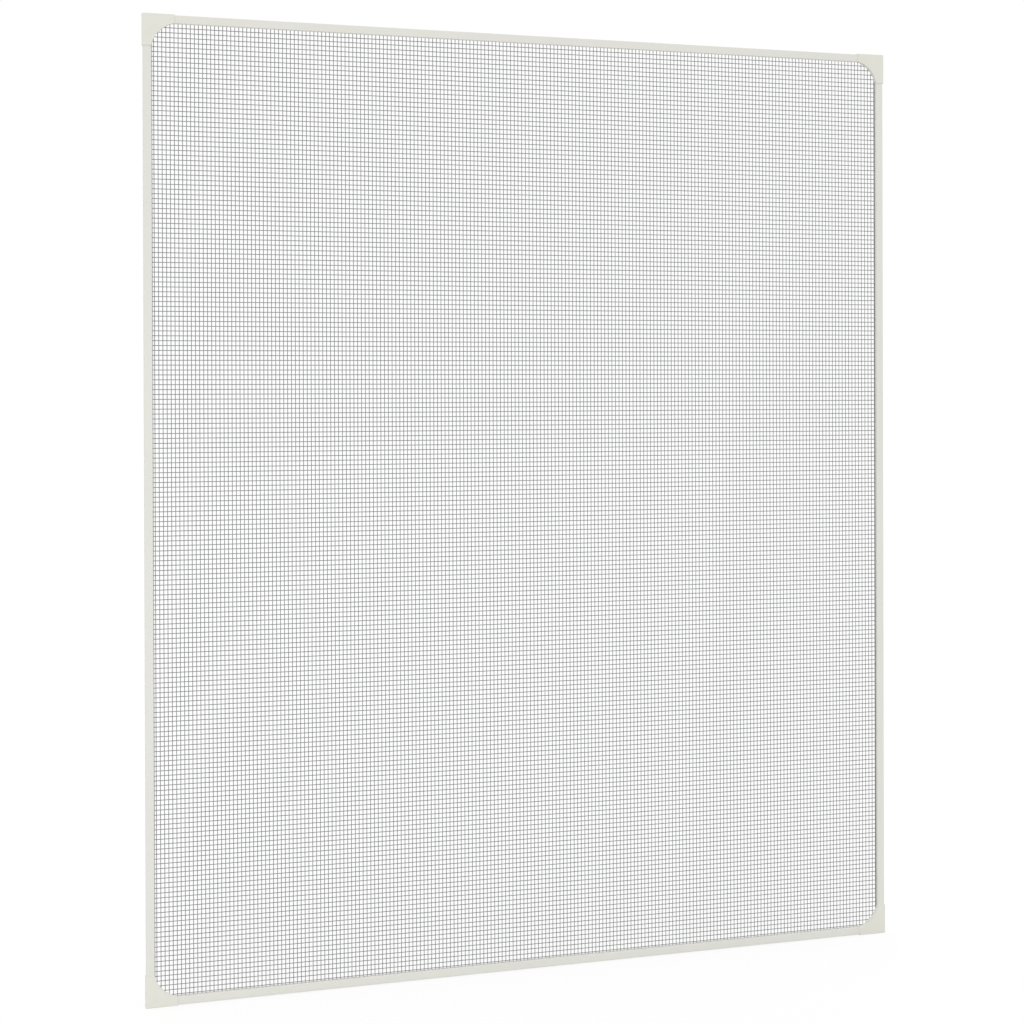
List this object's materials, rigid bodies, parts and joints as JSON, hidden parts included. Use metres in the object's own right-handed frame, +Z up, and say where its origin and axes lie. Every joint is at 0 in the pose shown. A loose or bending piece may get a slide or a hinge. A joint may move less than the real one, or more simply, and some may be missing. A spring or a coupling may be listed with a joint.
{
  "type": "magnetic insect screen",
  "caption": "Framed window insect screen: slim white rails with corner caps hold a fine grey mesh, and magnet strips behind cling to taped steel strips.",
  "frame": {"origin": "the middle of the screen's box", "axes": "+Z up the screen, +X to the right of someone facing its front, +Y out of its back towards the window frame"},
  "size_m": [1, 0.0086, 1.2],
  "materials": {
    "extruded_pvc": "off-white extruded PVC, satin",
    "moulded_pvc": "off-white moulded PVC, satin",
    "coated_yarn": "grey PVC-coated glass-fibre net",
    "grey_spline": "dark grey soft PVC cord",
    "ferrite_magnet": "dark brown ferrite-filled rubber",
    "zinc_steel": "zinc-coated strip steel",
    "foam_tape": "white foam adhesive tape"
  },
  "bodies": {
    "root": {"insect_mesh": "coated_yarn", "corner_top_left": "moulded_pvc", "corner_top_right": "moulded_pvc", "corner_bottom_left": "moulded_pvc", "corner_bottom_right": "moulded_pvc", "rail_top": "extruded_pvc", "rail_bottom": "extruded_pvc", "rail_left": "extruded_pvc", "rail_right": "extruded_pvc", "mesh_spline_top": "grey_spline", "mesh_spline_bottom": "grey_spline", "mesh_spline_left": "grey_spline", "mesh_spline_right": "grey_spline", "magnet_strip_top": "ferrite_magnet", "magnet_strip_bottom": "ferrite_magnet", "magnet_strip_left": "ferrite_magnet", "magnet_strip_right": "ferrite_magnet", "steel_strip_top": "zinc_steel", "steel_strip_bottom": "zinc_steel", "steel_strip_left": "zinc_steel", "steel_strip_right": "zinc_steel", "adhesive_tape_top": "foam_tape", "adhesive_tape_bottom": "foam_tape", "adhesive_tape_left": "foam_tape", "adhesive_tape_right": "foam_tape"}
  },
  "joints": []
}
